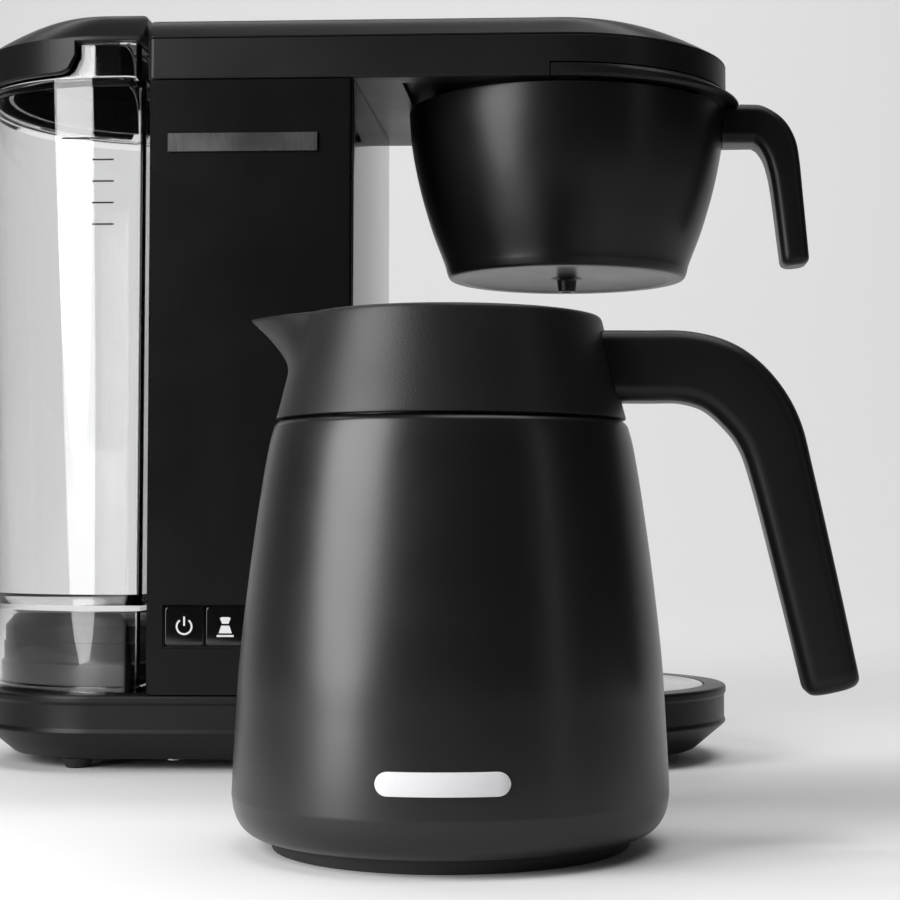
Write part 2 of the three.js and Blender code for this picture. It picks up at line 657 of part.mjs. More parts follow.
function buildFascia() {
  const inside = HEAD.half - 3.6;
  const whole = join(
    halfDisc(HEAD.half + 0.2, FASCIA.tip, FASCIA.bottom, FASCIA.top),
    ...[-1, 1].map((side) => {
      const y = side * (HEAD.half - 1.5);
      return block(FASCIA.start, END_X + 0.1, y - 1.7, y + 1.7, FASCIA.bottom, FASCIA.top);
    }),
  );
  const room = disc(END_X, 0, 280, 300, inside, 48);
  const web = halfDisc(HEAD.half - 2, HEAD.half - 2, FLANGE.bottom, FLANGE.top);
  const flangeRoom = disc(BASKET.x, 0, 280, 300, BASKET.flange + GAP, 48);
  const webRoom = join(flangeRoom, block(0, END_X + 28, -90, 90, 280, 300));
  add("basket_fascia", join(cut(whole, room), cut(web, webRoom)), BLACK);
}

function buildBasketHandle() {
  const stations = [
    [157, 279.3, 0, 17.4, 24],
    [174, 279.3, 0, 17.4, 23],
    [180, 278.7, -12, 17.2, 22.5],
    [185.6, 275.4, -36, 16.8, 22],
    [189.3, 269.6, -62, 16, 21.5],
    [191.3, 262, -79, 15, 21],
    [193, 250, -82.4, 14, 21],
    [197.6, 216.4, -82.4, 12.9, 20],
  ];
  const side = BOWL_SIDE.map(([r, z]) => [r + GAP + 0.2, z]);
  const top = side.at(-1)[0];
  const bowl = turned([[0, 205], [46, 205], ...side, [top, 300], [0, 300]], BASKET.x, 0, 64);
  const band = halfDisc(HEAD.half + 1, FASCIA.tip + GAP, FASCIA.bottom - GAP, 300, 40);
  add("basket_handle", cut(bar(stations, 0), bowl, band), BLACK);
}

// ---------------------------------------------------------------- carafe

const CARAFE_SIDE = [
  [61.4, CARAFE.foot],
  [66.8, 7.2],
  [69.6, 13],
  [70, 20],
  [68.5, 46],
  [65.8, 76],
  [61.8, 108.5],
  [58.2, 128],
  [55.8, CARAFE.shoulder],
];

const LINER_SIDE = [
  [56, 16],
  [61, 24],
  [60.6, 52],
  [56.4, 94],
  [50, 129],
  [45.8, 134.6],
  [44.2, 140],
  [44.2, 165],
];

function buildCarafe() {
  const wall = CARAFE_SIDE.filter((_, i) => i % 2 === 0).map(([r, z]) => [r - CARAFE.wall, z]);
  const floorZ = CARAFE.foot + CARAFE.wall;
  const shell = turned(
    [[0, CARAFE.foot], ...CARAFE_SIDE, ...wall.slice(1).reverse(), [61, floorZ], [0, floorZ]],
    0,
    0,
  );
  add("carafe_shell", shell, COATED, carafe);

  const outer = LINER_SIDE.slice(1).map(([r, z]) => [r + 1, z]);
  const inner = LINER_SIDE.toReversed();
  const liner = turned([[0, 13], [56, 13.4], ...outer, ...inner, [0, 14]], 0, 0);
  add("carafe_liner", liner, STEEL, carafe);

  const footTop = CARAFE.foot - GAP;
  const foot = [[0, 0], [57, 0], [58, 1], [58, footTop], [0, footTop]];
  add("carafe_foot", turned(foot, 0, 0), RUBBER, carafe);

  const plate = turned([[70, 24.4], [70.6, 24.4], [70.3, 31.4], [69.7, 31.4]], 0, 0, 72);
  add("carafe_badge", plate.intersect(block(-18.2, 20.8, -80, 0, 20, 34)), STEEL, carafe);
}

const HANDLE_SCREWS = [147.5, 158];

// A round bar along +X at height z, from x0 to x1.
function across(z, x0, x1, radius, steps = 12) {
  const rod = new THREE.CylinderGeometry(radius, radius, x1 - x0, steps).rotateZ(Math.PI / 2);
  return solid(rod.translate((x0 + x1) / 2, 0, z));
}

const COLLAR = { bottom: CARAFE.shoulder + 0.8, lower: 56.6, upper: 48.4 };
const collarRadius = (z) =>
  COLLAR.lower + ((COLLAR.upper - COLLAR.lower) * (z - COLLAR.bottom)) / (CARAFE.rim - COLLAR.bottom);

// The collar at one height: a circle that a pointed spout pulls out towards -X. The spout grows from
// nothing at its root to its full reach at the rim.
function collarOutline(z, inset, steps = 36) {
  const spoutRoot = 150;
  const reach = 18.2;
  const spread = THREE.MathUtils.degToRad(30);
  const rise = THREE.MathUtils.clamp((z - spoutRoot) / (CARAFE.rim - spoutRoot), 0, 1);
  const radius = collarRadius(z) - inset;
  return Array.from({ length: steps }, (_, i) => {
    const angle = (2 * Math.PI * i) / steps;
    const off = Math.abs(Math.atan2(Math.sin(angle - Math.PI), Math.cos(angle - Math.PI)));
    const pull = Math.max(0, 1 - off / spread);
    const r = radius + reach * rise ** 1.9 * pull ** 1.35;
    return new THREE.Vector2(r * Math.cos(angle), r * Math.sin(angle));
  });
}

function buildCollar() {
  const heights = [COLLAR.bottom, 150, 156, 161, 165, CARAFE.rim];
  const outside = loft(...heights.map((z) => [z, collarOutline(z, 0)]));
  const inside = loft(
    [COLLAR.bottom - 1, collarOutline(COLLAR.bottom, 9.4)],
    [144, collarOutline(144, 7)],
    [154, collarOutline(154, 2.8)],
    [162, collarOutline(162, 2.4)],
    [CARAFE.rim + 1, collarOutline(CARAFE.rim, 2)],
  );
  const neck = disc(0, 0, 120, 166, 45.5, 36);
  const screwHoles = HANDLE_SCREWS.map((z) => across(z, 40, 70, 2));
  add("carafe_collar", cut(outside, inside, neck, ...screwHoles), BLACK, carafe);
}

function buildCarafeHandle() {
  const stations = [
    [46, 153, 0, 23.6, 25],
    [66, 153.1, 0, 23.4, 24.5],
    [78.6, 153, -4, 23.2, 24],
    [88, 149.4, -30, 22.8, 23.5],
    [95.7, 142, -50, 22.2, 23],
    [101.2, 131.5, -68, 21, 22.5],
    [104.8, 118, -76.8, 20, 22],
    [112.6, 84, -76.8, 19.2, 21.5],
    [120.6, 49.4, -76.8, 18.2, 21],
  ];
  const collar = loft(
    [COLLAR.bottom - 10, collarOutline(COLLAR.bottom - 10, -GAP)],
    [CARAFE.rim + 5, collarOutline(CARAFE.rim + 5, -GAP)],
  );
  const screwHoles = HANDLE_SCREWS.map((z) => across(z, 40, 66, 2));
  add("carafe_handle", cut(bar(stations, 0), collar, ...screwHoles), BLACK, carafe);
  HANDLE_SCREWS.forEach((z, i) => {
    const inner = collarRadius(z) - 7.2;
    add(`handle_screw_${i + 1}`, across(z, Math.max(inner, 45.9), 65, 1.6), STEEL, carafe);
  });
}

buildBase();
buildTower();
buildHeadShell();
buildHeadCover();
buildShower();
buildWaterPath();
buildTank();
buildLid();
buildBasket();
buildFascia();
buildBasketHandle();
buildCarafe();
buildCollar();
buildCarafeHandle();

carafe.position.set(CARAFE.x, CARAFE.y, 0);
const assembly = new THREE.Group();
assembly.add(brewer, carafe);
const bounds = new THREE.Box3().setFromObject(assembly);
const middle = bounds.getCenter(new THREE.Vector3());
assembly.position.set(-middle.x, -middle.y, -bounds.min.z);

export default assembly;
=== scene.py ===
"""Looks of a counter-top drip coffee brewer and its vacuum carafe.

Shapes are built in millimetres in the row's frame, from the boxes of the CAD nodes, and are
written in metres.
"""
import math
from types import SimpleNamespace

import bmesh
import bpy
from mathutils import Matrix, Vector


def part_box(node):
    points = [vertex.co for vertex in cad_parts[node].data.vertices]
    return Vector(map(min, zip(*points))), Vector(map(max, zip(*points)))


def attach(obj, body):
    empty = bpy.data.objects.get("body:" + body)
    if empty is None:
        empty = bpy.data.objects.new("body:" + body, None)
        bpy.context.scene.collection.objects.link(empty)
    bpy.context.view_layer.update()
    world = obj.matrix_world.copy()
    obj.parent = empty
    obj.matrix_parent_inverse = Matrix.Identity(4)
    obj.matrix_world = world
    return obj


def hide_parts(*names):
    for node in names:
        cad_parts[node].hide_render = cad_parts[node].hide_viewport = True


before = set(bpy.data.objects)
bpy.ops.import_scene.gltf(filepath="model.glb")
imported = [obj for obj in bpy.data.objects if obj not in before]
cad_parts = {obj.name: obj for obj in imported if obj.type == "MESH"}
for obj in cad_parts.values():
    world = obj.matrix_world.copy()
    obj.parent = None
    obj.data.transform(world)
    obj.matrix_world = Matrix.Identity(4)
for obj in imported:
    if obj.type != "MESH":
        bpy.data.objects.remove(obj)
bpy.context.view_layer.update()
MM = 0.001


# ---------------------------------------------------------------- the frame in millimetres

def box_of(node):
    low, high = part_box(node)
    sides = dict(zip(("x0", "y0", "z0"), low / MM)) | dict(zip(("x1", "y1", "z1"), high / MM))
    return SimpleNamespace(**sides, cx=(low.x + high.x) / 2 / MM, cy=(low.y + high.y) / 2 / MM)


BASE = box_of("base_shell")
TOWER = box_of("tower_shell")
HEAD = box_of("head_shell")
COVER = box_of("head_cover")
TANK = box_of("tank_body")
LID = box_of("tank_lid")
PLATE = box_of("carafe_plate")
BOWL = box_of("basket_bowl")
FASCIA = box_of("basket_fascia")
GRIP = box_of("basket_handle")
FOOT = box_of("carafe_foot")
SHELL = box_of("carafe_shell")
COLLAR = box_of("carafe_collar")
HANDLE = box_of("carafe_handle")

MID = BASE.cy  # the brewer's mid plane
HEAD_R = (HEAD.y1 - HEAD.y0) / 2
END = HEAD.x1 - HEAD_R  # the axis of the head's round end
BOWL_TOP = HEAD.z0 - 1.6
FLANGE_LOW, FLANGE_HIGH = HEAD.z0 + 3.1, HEAD.z0 + 5.6  # the basket's flange, which slides in the head
FLANGE_R = 66.0
CARAFE_X, CARAFE_Y = FOOT.cx, FOOT.cy

CIRCLE = 192  # points round the large turned parts
OUT = 9.0  # how far a cutter stands out past what it cuts


# ---------------------------------------------------------------- outlines

def arc(cx, cy, radius, start, end, steps):
    """Points on a circle from one angle to another, in degrees."""
    angles = [math.radians(start + (end - start) * i / steps) for i in range(steps + 1)]
    return [(cx + radius * math.cos(a), cy + radius * math.sin(a)) for a in angles]


def plan(x0, x1, y0, y1, left, right, steps):
    """A rectangle seen from above, with one corner radius at its left and another at its right."""
    return (
        arc(x1 - right, y0 + right, right, -90, 0, steps)
        + arc(x1 - right, y1 - right, right, 0, 90, steps)
        + arc(x0 + left, y1 - left, left, 90, 180, steps)
        + arc(x0 + left, y0 + left, left, 180, 270, steps)
    )


def rounded(points, closed=False, steps=5):
    """A polyline of (a, b) or (a, b, radius): a corner with a radius becomes an arc."""
    out = []
    count = len(points)
    for i, point in enumerate(points):
        radius = point[2] if len(point) > 2 else 0
        inner = closed or 0 < i < count - 1
        if not radius or not inner:
            out.append((point[0], point[1]))
            continue
        here = Vector(point[:2])
        back = Vector(points[i - 1][:2]) - here
        ahead = Vector(points[(i + 1) % count][:2]) - here
        half = back.angle(ahead) / 2
        reach = min(radius / math.tan(half), 0.49 * min(back.length, ahead.length))
        start, end = here + back.normalized() * reach, here + ahead.normalized() * reach
        for k in range(steps + 1):
            t = k / steps
            curve = start * (1 - t) ** 2 + here * (2 * t * (1 - t)) + end * t**2
            out.append((curve.x, curve.y))
    return out


def smooth(points, steps):
    """A Catmull-Rom curve through points of any number of values, with steps between each two."""
    ends = [points[0], *points, points[-1]]
    out = []
    for i in range(len(points) - 1):
        a, b, c, d = ends[i : i + 4]
        for k in range(steps):
            t = k / steps
            weights = (
                (2 * t**2 - t - t**3) / 2,
                (2 - 5 * t**2 + 3 * t**3) / 2,
                (t + 4 * t**2 - 3 * t**3) / 2,
                (t**3 - t**2) / 2,
            )
            out.append(tuple(sum(w * v for w, v in zip(weights, values)) for values in zip(a, b, c, d)))
    out.append(tuple(points[-1]))
    return out


# ---------------------------------------------------------------- meshes

def turn_angles(steps):
    return [2 * math.pi * i / steps for i in range(steps)]


def mesh_object(name, points, faces, sharp=35):
    """A smooth-shaded mesh from points in millimetres, with edges sharper than the angle kept sharp."""
    mesh = bpy.data.meshes.new(name)
    mesh.from_pydata([tuple(c * MM for c in p) for p in points], [], faces)
    work = bmesh.new()
    work.from_mesh(mesh)
    bmesh.ops.remove_doubles(work, verts=work.verts, dist=1e-7)
    bmesh.ops.recalc_face_normals(work, faces=work.faces)
    shade(work, sharp)
    work.to_mesh(mesh)
    work.free()
    obj = bpy.data.objects.new(name, mesh)
    bpy.context.scene.collection.objects.link(obj)
    return obj


def shade(work, sharp):
    """Shades a bmesh smooth, apart from the edges that are sharper than an angle in degrees."""
    for face in work.faces:
        face.smooth = True
    for edge in work.edges:
        if len(edge.link_faces) == 2:
            edge.smooth = edge.calc_face_angle(0) < math.radians(sharp)


def skin(name, rings, sharp=35, closed=False):
    """A skin over rings of 3D points, with its ends filled, or with its last ring joined to its first."""
    count = len(rings[0])
    points = [p for ring in rings for p in ring]
    faces = []
    for r in range(len(rings) if closed else len(rings) - 1):
        a, b = r * count, (r + 1) % len(rings) * count
        for i in range(count):
            j = (i + 1) % count
            faces.append((a + i, a + j, b + j, b + i))
    if not closed:
        faces.append(tuple(reversed(range(count))))
        faces.append(tuple(range(len(points) - count, len(points))))
    return mesh_object(name, points, faces, sharp)


def stack(name, outline, levels, sharp=35):
    """A skin over one outline at many levels: (inset, z), or (inset, end inset, tip inset, z)."""
    rings = [[(x, y, level[-1]) for x, y in outline(*level[:-1])] for level in levels]
    return skin(name, rings, sharp)


def domed(edge, top, side, reach, power, corner):
    """Levels of a top that steps in while it rises, steeply at first and then ever flatter: by side
    along its sides and by reach at its round end. The flat end keeps its place, apart from a rounded
    top corner."""
    steps, closer_at_edge = 28, 1.3
    levels = []
    for i in range(steps + 1):
        share = (i / steps) ** closer_at_edge
        z = edge + (top - edge) * (1 - (1 - share) ** power)
        above = max(0.0, z - (top - corner))
        levels.append((side * share, corner - math.sqrt(corner**2 - above**2), reach * share, z))
    return levels


def squeezed(outline, x, side, factor):
    """Squeezes the part of an outline beyond x towards it, on the right (1) or the left (-1)."""
    return [(x + (px - x) * factor if (px - x) * side > 0 else px, py) for px, py in outline]


def rod(name, x, z, reach, radius):
    """A round bar along Y, as far to the front of the mid plane as behind it."""
    section = [(x + radius * math.cos(a), z + radius * math.sin(a)) for a in turn_angles(32)]
    return bar(name, section, reach)


def bar(name, section, reach):
    """A bar along Y of any section of (x, z), as far to the front of the mid plane as behind it."""
    return skin(name, [[(x, y, z) for x, z in section] for y in (MID - reach, MID + reach)])


def circle(cx, cy, radius, z, steps):
    return [(cx + radius * math.cos(a), cy + radius * math.sin(a), z) for a in turn_angles(steps)]


def turned(name, profile, cx, cy, steps=128):
    """A turned part: the profile of (radius, z) runs from the axis to the axis, or closes on itself."""
    on_axis = profile[0][0] == 0
    rings = [circle(cx, cy, radius, z, steps) for radius, z in (profile[1:-1] if on_axis else profile)]
    if not on_axis:
        return skin(name, rings, closed=True)
    points = [p for ring in rings for p in ring] + [(cx, cy, profile[0][1]), (cx, cy, profile[-1][1])]
    faces = []
    for r in range(len(rings) - 1):
        for i in range(steps):
            j = (i + 1) % steps
            faces.append((r * steps + i, r * steps + j, (r + 1) * steps + j, (r + 1) * steps + i))
    first, last = len(points) - 2, len(points) - 1
    top = (len(rings) - 1) * steps
    for i in range(steps):
        j = (i + 1) % steps
        faces.append((first, j, i))
        faces.append((last, top + i, top + j))
    return mesh_object(name, points, faces)


def handle_bar(name, stations, y, corner, end_round):
    """A handle in the XZ plane through (x, z, thickness, width), rounded off at its far end."""
    line = smooth(refine_end(stations, end_round), 8)
    rings = []
    for i, (x, z, thickness, width) in enumerate(line):
        ahead, behind = line[min(i + 1, len(line) - 1)], line[max(i - 1, 0)]
        run = Vector((ahead[0] - behind[0], ahead[1] - behind[1])).normalized()
        across = Vector((-run.y, run.x))
        to_end = min(math.hypot(line[-1][0] - x, line[-1][1] - z), end_round)
        shrink = end_round * (1 - math.sqrt(max(0.0, 1 - (1 - to_end / end_round) ** 2)))
        thin, slim = thickness / 2 - shrink, width / 2 - shrink
        radius = min(corner, thin * 0.98, slim * 0.98)
        outline = plan(-thin, thin, -slim, slim, radius, radius, 6)
        rings.append([(x + across.x * u, y + v, z + across.y * u) for u, v in outline])
    return skin(name, rings, 50)


def refine_end(stations, end_round):
    """Adds close stations at the end of a bar, so that its rounding is smooth."""
    (x0, z0, t0, w0), (x1, z1, t1, w1) = stations[-2:]
    length = math.hypot(x1 - x0, z1 - z0)
    extra = []
    for share in (1.0, 0.8, 0.6, 0.42, 0.27, 0.15, 0.07, 0.02):
        t = 1 - share * end_round / length
        extra.append((x0 + (x1 - x0) * t, z0 + (z1 - z0) * t, t0 + (t1 - t0) * t, w0 + (w1 - w0) * t))
    return [*stations[:-1], *extra, stations[-1]]


def oblong(a0, a1, b0, b1):
    return [(a0, b0), (a1, b0), (a1, b1), (a0, b1)]


def block(name, x0, x1, y0, y1, z0, z1):
    return skin(name, [[(x, y, z) for x, y in oblong(x0, x1, y0, y1)] for z in (z0, z1)])


def carve(obj, *cutters, operation="DIFFERENCE", sharp=35):
    """Cuts the cutters out of an object, or joins them to it, and removes them."""
    for cutter in cutters:
        modifier = obj.modifiers.new("carve", "BOOLEAN")
        modifier.operation = operation
        modifier.solver = "EXACT"
        modifier.object = cutter
        graph = bpy.context.evaluated_depsgraph_get()
        mesh = bpy.data.meshes.new_from_object(obj.evaluated_get(graph))
        obj.modifiers.clear()
        old = obj.data
        obj.data = mesh
        mesh.name = obj.name
        bpy.data.meshes.remove(old)
        bpy.data.objects.remove(cutter)
    work = bmesh.new()
    work.from_mesh(obj.data)
    shade(work, sharp)
    work.to_mesh(obj.data)
    work.free()
    return obj


def bevel(obj, width, segments=3):
    modifier = obj.modifiers.new("soft_edges", "BEVEL")
    modifier.width = width * MM
    modifier.segments = segments
    modifier.limit_method = "ANGLE"
    modifier.angle_limit = math.radians(40)
    modifier.harden_normals = True
    return obj


def place(obj, body, material, slot, *nodes):
    """Gives a piece its material, its body and the CAD nodes it stands for."""
    obj.data.materials.append(material)
    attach(obj, body)
    if nodes:
        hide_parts(*nodes)
    return obj


# ---------------------------------------------------------------- materials

def new_material(name):
    material = bpy.data.materials.new(name)
    material.use_nodes = True
    nodes = material.node_tree.nodes
    return material, nodes, material.node_tree.links, nodes["Principled BSDF"]


def noise(nodes, links, scale, detail, stretch=(1, 1, 1)):
    """Noise in object space, in features per metre, stretched along the axes."""
    coordinates = nodes.new("ShaderNodeTexCoord")
    mapping = nodes.new("ShaderNodeMapping")
    mapping.inputs["Scale"].default_value = stretch
    texture = nodes.new("ShaderNodeTexNoise")
    texture.inputs["Scale"].default_value = scale
    texture.inputs["Detail"].default_value = detail
    links.new(coordinates.outputs["Object"], mapping.inputs["Vector"])
    links.new(mapping.outputs["Vector"], texture.inputs["Vector"])
    return texture.outputs["Fac"]


def ranged(nodes, links, value, low, high):
    """Maps noise from its usual middle band to low..high."""
    spread = nodes.new("ShaderNodeMapRange")
    spread.inputs["From Min"].default_value = 0.3
    spread.inputs["From Max"].default_value = 0.7
    spread.inputs["To Min"].default_value = low
    spread.inputs["To Max"].default_value = high
    links.new(value, spread.inputs["Value"])
    return spread.outputs["Result"]


def bumped(nodes, links, shader, height, depth, strength=1.0):
    """Roughens a shader's surface by a texture of a depth in millimetres."""
    bump = nodes.new("ShaderNodeBump")
    bump.inputs["Strength"].default_value = strength
    bump.inputs["Distance"].default_value = depth * MM
    links.new(height, bump.inputs["Height"])
    links.new(bump.outputs["Normal"], shader.inputs["Normal"])


def surface(name, colour, roughness, grain, metallic=0.0, coat=0.0, stretch=(1, 1, 1), gleam=0.5):
    """A moulded, painted or brushed surface. colour and roughness are (low, high) ranges, grain is
    (features per metre, bump height in millimetres), and gleam is the shader's specular level."""
    material, nodes, links, shader = new_material(name)
    patches = noise(nodes, links, 35, 3)
    tone = nodes.new("ShaderNodeMix")
    tone.data_type = "RGBA"
    tone.inputs["A"].default_value = (*colour[0], 1)
    tone.inputs["B"].default_value = (*colour[1], 1)
    fine = noise(nodes, links, grain[0], 4, stretch)
    links.new(ranged(nodes, links, fine, 0, 1), tone.inputs["Factor"])
    links.new(tone.outputs["Result"], shader.inputs["Base Color"])
    links.new(ranged(nodes, links, patches, *roughness), shader.inputs["Roughness"])
    bumped(nodes, links, shader, fine, grain[1])
    shader.inputs["Metallic"].default_value = metallic
    shader.inputs["IOR"].default_value = 1.5
    shader.inputs["Coat Weight"].default_value = coat
    shader.inputs["Coat Roughness"].default_value = 0.2
    shader.inputs["Specular IOR Level"].default_value = gleam
    return material


def grey(low, high):
    """Two neutral greys, a touch bluer than equal parts."""
    return ((low, low, low * 1.02), (high, high, high * 1.02))


def clear_plastic():
    material, nodes, links, shader = new_material("clear_plastic")
    haze = noise(nodes, links, 60, 3)
    links.new(ranged(nodes, links, haze, 0.015, 0.05), shader.inputs["Roughness"])
    bumped(nodes, links, shader, noise(nodes, links, 18, 2), 0.25, 0.4)
    shader.inputs["Base Color"].default_value = (0.99, 0.992, 0.992, 1)
    shader.inputs["Transmission Weight"].default_value = 1.0
    shader.inputs["IOR"].default_value = 1.46
    return material


ALONG_Z, ALONG_X = (1, 1, 0.06), (0.1, 1, 1)  # the way that a brushed surface's scratches run

SATIN = surface("satin_black_plastic", grey(0.005, 0.007), (0.34, 0.40), (2600, 0.012), gleam=0.22)
GRAINED = surface("grained_black_plastic", grey(0.006, 0.009), (0.38, 0.45), (1500, 0.045), gleam=0.32)
GLOSS = surface("polished_black_plastic", grey(0.003, 0.004), (0.06, 0.10), (300, 0.002), gleam=0.4)
BOWL_BLACK = surface(
    "basket_black_plastic", grey(0.003, 0.005), (0.29, 0.34), (2200, 0.015), gleam=0.27
)
POWDER = surface(
    "black_powder_coat", grey(0.004, 0.007), (0.29, 0.34), (3200, 0.016), coat=0.05, gleam=0.42
)
PANEL_BLACK = surface(
    "black_brushed_panel",
    grey(0.0025, 0.0045),
    (0.26, 0.30),
    (900, 0.006),
    0.2,
    stretch=(4, 1, 0.05),
    gleam=0.2,
)
DARK_STEEL = surface("dark_steel", grey(0.14, 0.19), (0.24, 0.32), (1500, 0.006), 1.0, stretch=ALONG_Z)
STEEL = surface("brushed_steel", grey(0.52, 0.62), (0.22, 0.32), (1500, 0.006), 1.0, stretch=ALONG_Z)
PLATE_STEEL = surface("plate_steel", grey(0.50, 0.60), (0.20, 0.28), (1200, 0.006), 1.0, stretch=ALONG_X)
CAST = surface("cast_aluminium", grey(0.45, 0.58), (0.45, 0.6), (700, 0.06), 1.0)
RUBBER = surface("black_rubber", grey(0.010, 0.016), (0.7, 0.85), (900, 0.05))
SILICONE = surface("silicone", ((0.62, 0.61, 0.57), (0.7, 0.69, 0.65)), (0.45, 0.6), (500, 0.02))
BOARD = surface("circuit_board", ((0.02, 0.12, 0.05), (0.03, 0.18, 0.08)), (0.3, 0.5), (800, 0.03))
WHITE_INK = surface("white_ink", grey(0.62, 0.68), (0.45, 0.55), (2500, 0.006))
CLEAR = clear_plastic()


# ---------------------------------------------------------------- base

BASE_LEFT_R, BASE_RIGHT_R = 62.0, (BASE.y1 - BASE.y0) / 2


def base_outline(inset):
    left, right = BASE_LEFT_R - inset, BASE_RIGHT_R - inset
    return plan(BASE.x0 + inset, BASE.x1 - inset, BASE.y0 + inset, BASE.y1 - inset, left, right, 32)


def build_base():
    z0, z1 = BASE.z0, BASE.z1
    taper = [(18, z0), (13.6, z0, 1.5), (0, z0 + 11.6, 1.2), (0.7, z0 + 13.6, 1.5)]
    upper_edge = [(0.7, z1 - 4.2, 0.8), (0, z1 - 3.2, 0.4), (0, z1, 1.7), (9, z1)]
    middle = 30  # how far in the flat top and bottom start
    levels = [(middle, z0), *rounded([*taper, *upper_edge]), (middle, z1)]
    base = stack("base_top_shell", base_outline, levels)
    radius = (PLATE.x1 - PLATE.x0) / 2
    bed, rim = z1 - 1.9, radius + 0.5
    well = turned("well", [(0, bed), (rim, bed), (rim, z1 + 2), (0, z1 + 2)], PLATE.cx, PLATE.cy)
    under = stack("under", base_outline, [(18, z0 - 2), (18, z0 + 4.2), (6, z0 + 11), (3, z1 - 5)])
    carve(base, well, under)
    place(base, "machine", SATIN, "black_plastic", "base_shell")

    low, top = PLATE.z0, PLATE.z1
    dish = top - 0.5
    edge = [(0, dish), (-0.5, top), (-3.4, top), (-4.2, dish)]
    profile = [(0, low), (radius, low), *[(radius + u, z) for u, z in edge], (0, dish)]
    plate = turned("carafe_plate_disc", profile, PLATE.cx, PLATE.cy, 160)
    place(plate, "machine", PLATE_STEEL, "steel", "carafe_plate")

    for i in range(1, 5):
        node = f"foot_{i}"
        foot = box_of(node)
        wide = (foot.x1 - foot.x0) / 2
        profile = rounded([(0, 0), (wide - 1.6, 0, 0.9), (wide - 0.1, foot.z1), (0, foot.z1)])
        pad = turned(f"rubber_foot_{i}", profile, foot.cx, foot.cy, 48)
        place(pad, "machine", RUBBER, "black_rubber", node)


# ---------------------------------------------------------------- tower and controls

def tower_outline(inset):
    x0, x1, y0, y1 = TOWER.x0 + inset, TOWER.x1 - inset, TOWER.y0 + inset, TOWER.y1 - inset
    corner = max(3 - inset, 1)
    return plan(x0, x1, y0, y1, corner, corner, 8)


def build_tower():
    shell = stack("tower_column", tower_outline, [(0, TOWER.z0), (0, TOWER.z1)])
    strip, back = box_of("button_frame"), box_of("back_panel")
    wall, gap, lap = 2.5, 0.5, 6
    front, rear = (TOWER.y0 - OUT, TOWER.y0 + OUT), (TOWER.y1 - OUT, TOWER.y1 + OUT)
    carve(
        shell,
        stack("inside", tower_outline, [(wall, TOWER.z0 - OUT), (wall, TOWER.z1 + OUT)]),
        block("window", strip.x0 - gap, strip.x1 + gap, *front, strip.z0 - gap, strip.z1 + gap),
        block("service_opening", back.x0 + lap, back.x1 - lap, *rear, back.z0 + lap, back.z1 - lap),
    )
    bevel(shell, 0.3)
    place(shell, "machine", GLOSS, "gloss_black_plastic", "tower_shell")


def icon(name, outline, node):
    """A thin printed shape on the front of a button, from (x, z) about the button's middle."""
    cap = box_of(node)
    cz = (cap.z0 + cap.z1) / 2
    rings = [[(cap.cx + x, y, cz + z) for x, z in outline] for y in (cap.y0 + 0.3, cap.y0 - 0.08)]
    place(skin(name, rings), node, WHITE_INK, "gloss_black_plastic")


def ring_strip(radius, width, start, end, cz=0.0):
    outer, inner = radius + width / 2, radius - width / 2
    return arc(0, cz, outer, start, end, 28) + arc(0, cz, inner, end, start, 28)


# the printed shapes of each button: power, a dripper over a cup, a clock and a drop
ICONS = {
    "button_power": [ring_strip(3.1, 0.75, 125, 415), oblong(-0.38, 0.38, 0.3, 4.1)],
    "button_bloom": [
        [(-2.2, 3.4), (-1.5, 3.9), (1.5, 3.9), (2.2, 3.4), (1.3, 1.2), (-1.3, 1.2)],
        [(-1.7, 0.4), (1.7, 0.4), (2.7, -2.7), (-2.7, -2.7)],
        oblong(-3.5, 3.5, -4.2, -3.4),
    ],
    "button_timer": [
        ring_strip(3.4, 0.7, 0, 360),
        oblong(-0.3, 0.3, 0, 2.4),
        oblong(-0.3, 1.7, -0.3, 0.3),
    ],
    "button_clean": [
        ring_strip(2.2, 0.7, -200, 20, cz=-1.2),
        [(-2.5, -0.5), (-1.8, -0.7), (0, 2.9), (1.8, -0.7), (2.5, -0.5), (0, 4.3)],
    ],
}


def build_buttons():
    for node, shapes in ICONS.items():
        cap = box_of(node)
        outline = plan(cap.x0, cap.x1, cap.z0, cap.z1, 1.2, 1.2, 6)
        cx, cz = cap.cx, (cap.z0 + cap.z1) / 2

        def ring(y, inset):
            scale_x = 1 - 2 * inset / (cap.x1 - cap.x0)
            scale_z = 1 - 2 * inset / (cap.z1 - cap.z0)
            return [(cx + (x - cx) * scale_x, y, cz + (z - cz) * scale_z) for x, z in outline]

        edge = rounded([(0, cap.y0 + 4), (0, cap.y0, 0.7), (cap.x1 - cap.x0, cap.y0)])[:-1]
        face = skin(f"{node}_cap", [ring(y, inset) for inset, y in edge])
        stem = block("stem", cx - 2, cx + 2, cap.y0 + 3, cap.y1, cz - 2, cz + 2)
        carve(face, stem, operation="UNION")
        place(face, node, GLOSS, "gloss_black_plastic", node)
        for i, shape in enumerate(shapes):
            icon(f"{node}_icon_{i + 1}", shape, node)


# ---------------------------------------------------------------- head

def head_outline(inset, end=None, tip=None):
    """The head from above, drawn in by inset, or by end at its flat end and tip at its round end."""
    end, tip = inset if end is None else end, inset if tip is None else tip
    x0, x1, y0, y1 = HEAD.x0 + end, HEAD.x1 - inset, HEAD.y0 + inset, HEAD.y1 - inset
    outline = plan(x0, x1, y0, y1, max(3 - inset, 0.6), HEAD_R - inset, 32)
    return squeezed(outline, END, 1, (HEAD_R - tip) / (HEAD_R - inset))


